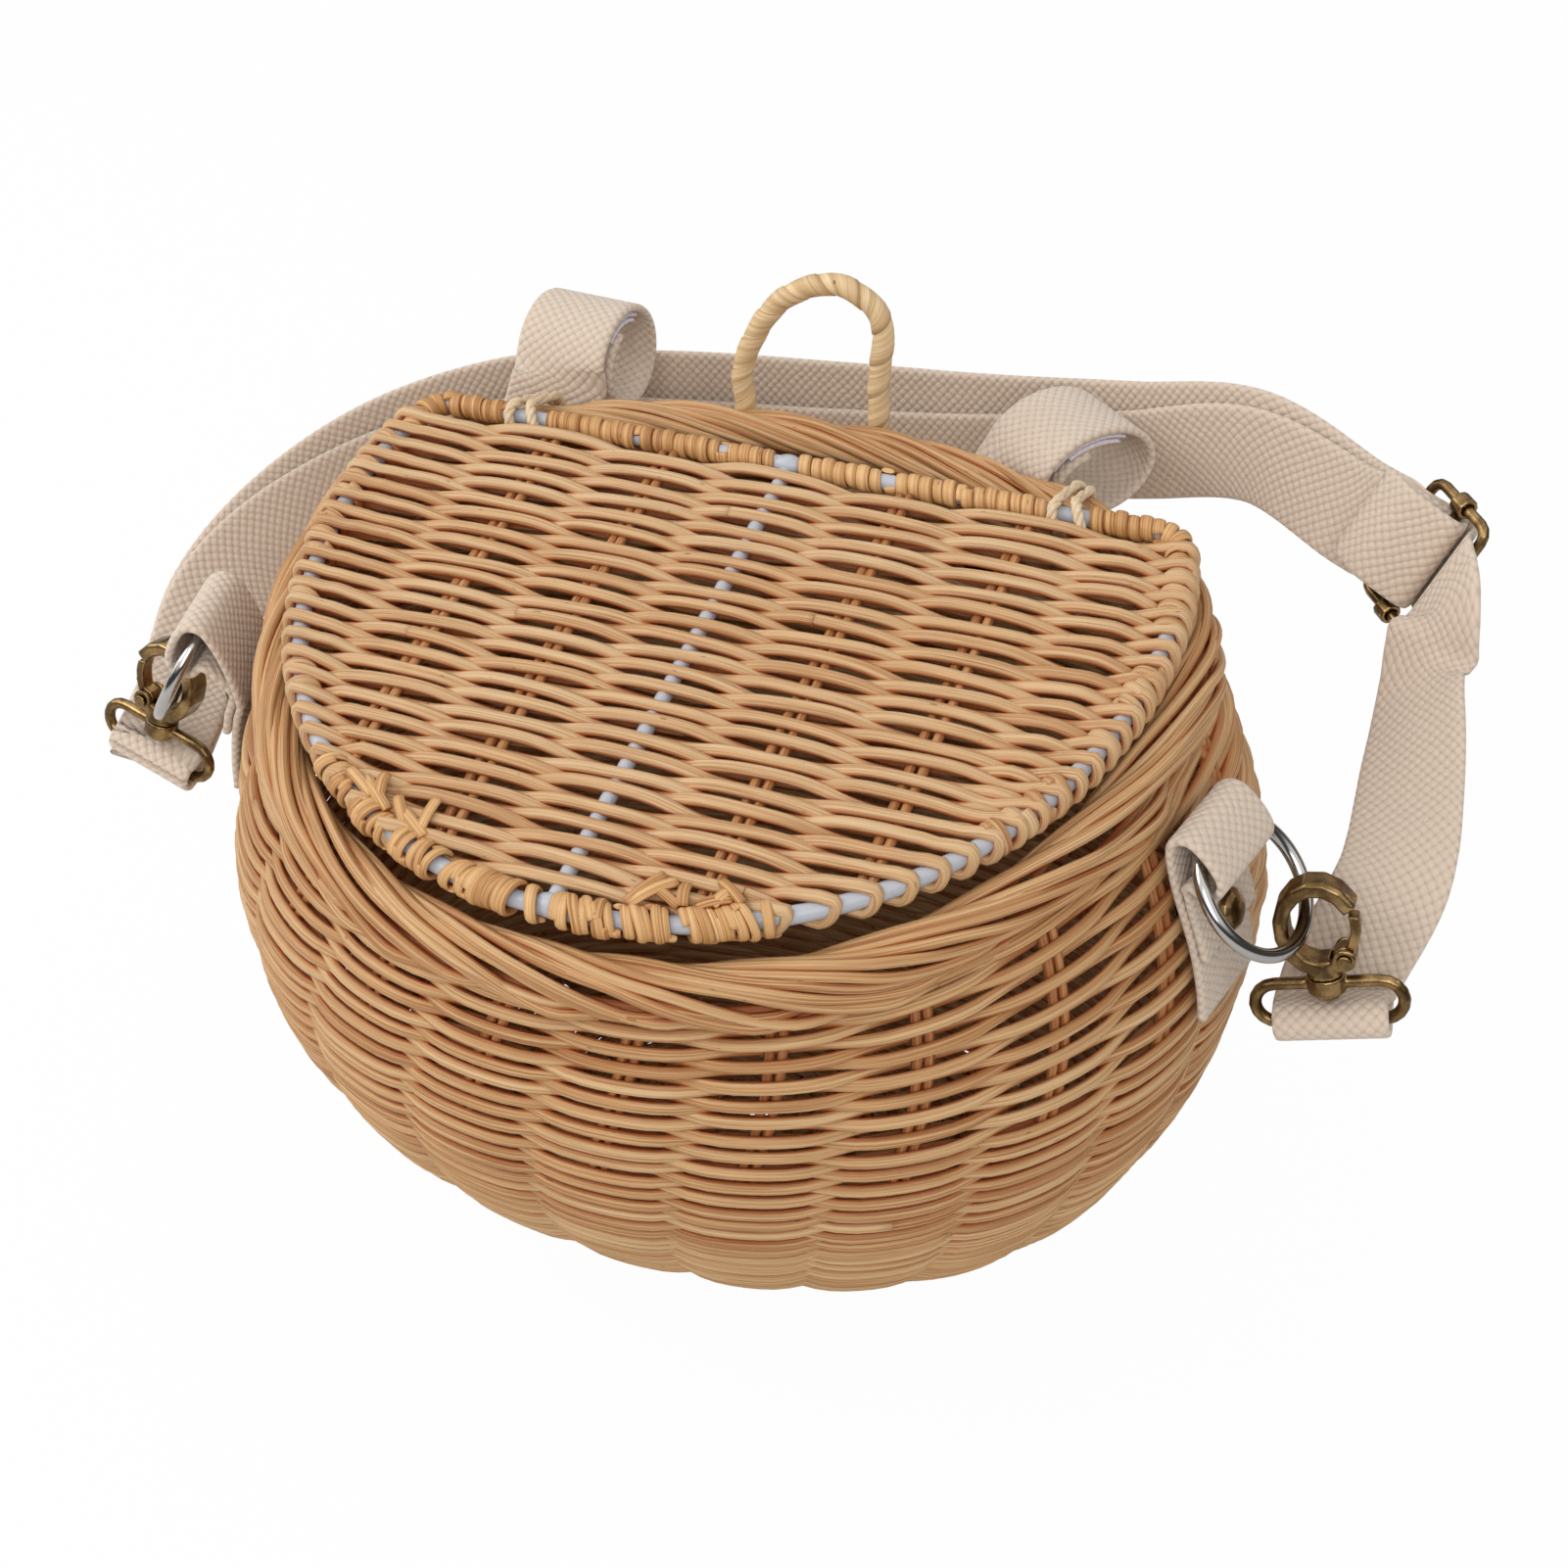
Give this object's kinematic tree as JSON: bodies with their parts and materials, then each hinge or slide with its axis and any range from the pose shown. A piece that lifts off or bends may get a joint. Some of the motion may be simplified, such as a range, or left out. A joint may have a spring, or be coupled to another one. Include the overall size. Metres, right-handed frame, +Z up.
{
  "type": "bicycle basket",
  "caption": "Woven rattan handlebar basket with a sloping hinged lid, small arch handle, handlebar loops and a clip-on webbing shoulder strap.",
  "frame": {"origin": "on the ground, under the middle of the bowl's floor", "axes": "+X to the right and -Y to the front of the bowl as seen from the front, +Z up"},
  "size_m": [0.3396, 0.2228, 0.2236],
  "materials": {
    "rattan": "satin natural rattan core",
    "stake_rattan": "satin natural rattan core",
    "lid_rattan": "satin natural rattan core",
    "straw": "pale flat strip",
    "cane": "glossy cane skin",
    "painted_wire": "pale grey paint",
    "cord": "twisted cord",
    "cotton": "cotton webbing",
    "tape": "hook-and-loop tape",
    "antique_brass": "antique, darkened",
    "nickel": "bright nickel",
    "spring_steel": "spring wire"
  },
  "bodies": {
    "basket": {"woven_shell": "rattan", "stake_frame": "stake_rattan", "rim_border": "rattan", "handle_core": "stake_rattan", "handle_wrap": "straw", "hinge_tie_left": "cord", "hinge_tie_right": "cord", "tab_left": "cotton", "tab_rivet_left": "antique_brass", "tab_washer_left": "antique_brass", "swivel_eye_left": "antique_brass", "tab_right": "cotton", "tab_rivet_right": "antique_brass", "tab_washer_right": "antique_brass", "swivel_eye_right": "antique_brass", "strap_main": "cotton", "strap_return": "cotton", "slider_frame": "antique_brass", "slider_bar": "antique_brass", "bar_strap_left": "cotton", "hook_tape_left": "tape", "loop_tape_left": "tape", "bar_rivet_left": "antique_brass", "bar_washer_left": "antique_brass", "bar_strap_right": "cotton", "hook_tape_right": "tape", "loop_tape_right": "tape", "bar_rivet_right": "antique_brass", "bar_washer_right": "antique_brass"},
    "lid": {"lid_wire_frame": "painted_wire", "lid_weave": "lid_rattan", "lid_stake_1": "stake_rattan", "lid_stake_2": "stake_rattan", "lid_stake_3": "stake_rattan", "lid_stake_4": "stake_rattan", "hinge_binding_1": "cane", "hinge_binding_2": "cane", "hinge_binding_3": "cane", "hinge_binding_4": "cane", "front_binding_left": "cane", "front_binding_right": "cane"},
    "ring_left": {"ring_left": "nickel"},
    "hook_left": {"hook_body_left": "antique_brass", "gate_pin_left": "antique_brass", "gate_spring_left": "spring_steel"},
    "gate_left": {"hook_gate_left": "antique_brass"},
    "ring_right": {"ring_right": "nickel"},
    "hook_right": {"hook_body_right": "antique_brass", "gate_pin_right": "antique_brass", "gate_spring_right": "spring_steel"},
    "gate_right": {"hook_gate_right": "antique_brass"}
  },
  "joints": [
    {"name": "lid_hinge", "type": "hinge", "parent": "basket", "child": "lid", "pos_m": [0, 0.0295, 0.187], "axis": [-1, 0, 0], "range_deg": [0, 95]},
    {"name": "ring_swing_left", "type": "hinge", "parent": "basket", "child": "ring_left", "pos_m": [-0.12871, -0.03373, 0.15338], "axis": [0.22, -0.9755, 0], "range_deg": [-5, 0]},
    {"name": "hook_swivel_left", "type": "hinge", "parent": "basket", "child": "hook_left", "pos_m": [-0.14961, -0.03367, 0.11724], "axis": [0.2611, 0.1762, 0.9491], "range_deg": [-6, 6]},
    {"name": "gate_left", "type": "hinge", "parent": "hook_left", "child": "gate_left", "pos_m": [-0.15252, -0.03189, 0.12476], "axis": [0.0742, 0.9766, -0.2017], "range_deg": [0, 26], "stiffness_Nm_per_rad": 0.02, "springref_deg": -11.46},
    {"name": "ring_swing_right", "type": "hinge", "parent": "basket", "child": "ring_right", "pos_m": [0.12108, -0.03115, 0.15351], "axis": [0.2136, 0.9769, 0], "range_deg": [-5, 0]},
    {"name": "hook_swivel_right", "type": "hinge", "parent": "basket", "child": "hook_right", "pos_m": [0.14742, -0.03214, 0.12164], "axis": [-0.2623, 0.1745, 0.9491], "range_deg": [-6, 6]},
    {"name": "gate_right", "type": "hinge", "parent": "hook_right", "child": "gate_right", "pos_m": [0.15032, -0.03035, 0.12917], "axis": [0.0806, -0.9761, 0.2017], "range_deg": [0, 26], "stiffness_Nm_per_rad": 0.02, "springref_deg": -11.46}
  ]
}
